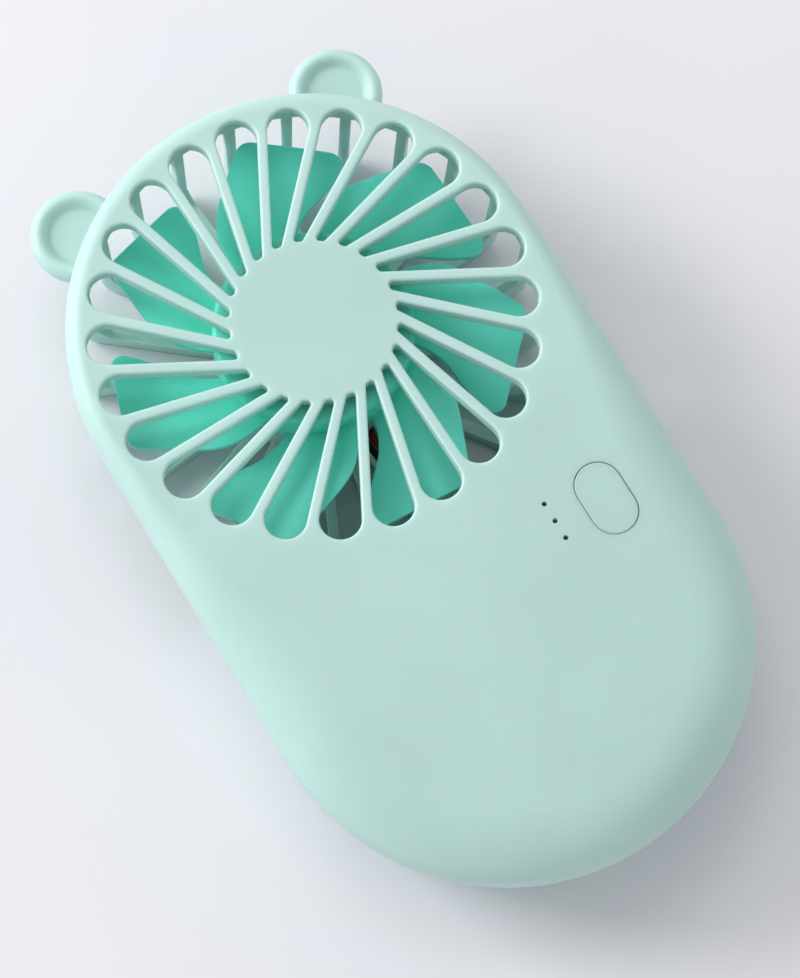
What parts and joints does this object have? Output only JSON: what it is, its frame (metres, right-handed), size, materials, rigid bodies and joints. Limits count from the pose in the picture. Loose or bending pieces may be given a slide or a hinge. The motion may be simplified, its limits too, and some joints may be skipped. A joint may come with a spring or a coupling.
{
  "type": "handheld pocket fan",
  "caption": "Flat pocket fan: round swirl-slotted grille with a bladed impeller and motor, two ear discs, flush pill button, battery handle and rear rib basket.",
  "frame": {"origin": "centre of the body outline at the plane of the flat back, on which the fan lies", "axes": "+Z out of the front grille along the impeller shaft, +Y along the body from the round foot to the ears, +X to the side that holds the power button"},
  "size_m": [0.072, 0.1264, 0.0235],
  "materials": {
    "mint_shell_plastic": "soft matte moulded ABS, pastel mint",
    "mint_button_plastic": "soft matte moulded ABS, pastel mint",
    "green_impeller_plastic": "satin moulded polypropylene, turquoise green",
    "zinc_plated_steel": "bright zinc-plated drawn steel",
    "ground_steel": "ground shaft steel",
    "lamination_steel": "stamped silicon steel",
    "sintered_bronze": "oil-filled sintered bronze",
    "ferrite_magnet": "pressed ferrite, dark grey",
    "enamelled_copper": "enamelled copper wire",
    "copper_contact": "bare copper and phosphor bronze",
    "white_nylon": "natural white nylon",
    "board_laminate": "glass-epoxy laminate with green solder mask",
    "black_epoxy": "moulded black epoxy",
    "light_lens": "clear epoxy lens over a white carrier",
    "ceramic_chip": "ceramic with tinned ends",
    "nickel_steel": "nickel-plated folded steel",
    "pouch_foil": "aluminium laminate pouch foil",
    "kapton_board": "small board under amber tape",
    "foam_tape": "black foam tape",
    "red_silicone": "red silicone insulation",
    "black_silicone": "black silicone insulation"
  },
  "bodies": {
    "housing": {"front_shell": "mint_shell_plastic", "rear_shell": "mint_shell_plastic", "motor_can": "zinc_plated_steel", "motor_end_cap": "white_nylon", "motor_bushes": "sintered_bronze", "motor_magnets": "ferrite_magnet", "motor_brushes": "copper_contact", "motor_terminals": "nickel_steel", "circuit_board": "board_laminate", "switch_body": "black_epoxy", "switch_terminals": "nickel_steel", "status_lights": "light_lens", "board_chips": "black_epoxy", "board_passives": "ceramic_chip", "usb_shell": "nickel_steel", "usb_tongue": "black_epoxy", "battery_pouch": "pouch_foil", "battery_guard_board": "kapton_board", "battery_pads": "foam_tape", "shell_screws": "zinc_plated_steel", "board_screws": "zinc_plated_steel", "motor_lead_red": "red_silicone", "motor_lead_black": "black_silicone", "battery_lead_red": "red_silicone", "battery_lead_black": "black_silicone"},
    "rotor": {"impeller": "green_impeller_plastic", "motor_shaft": "ground_steel", "armature_core": "lamination_steel", "armature_windings": "enamelled_copper", "commutator": "copper_contact"},
    "button": {"power_button": "mint_button_plastic", "switch_plunger": "white_nylon"}
  },
  "joints": [
    {"name": "impeller_spin", "type": "hinge", "parent": "housing", "child": "rotor", "pos_m": [0, 0.02579, 0.00875], "axis": [0, 0, 1], "continuous": true},
    {"name": "power_button_press", "type": "slide", "parent": "housing", "child": "button", "axis": [0, 0, -1], "range_m": [0, 0.0003], "stiffness_N_per_m": 3000}
  ]
}
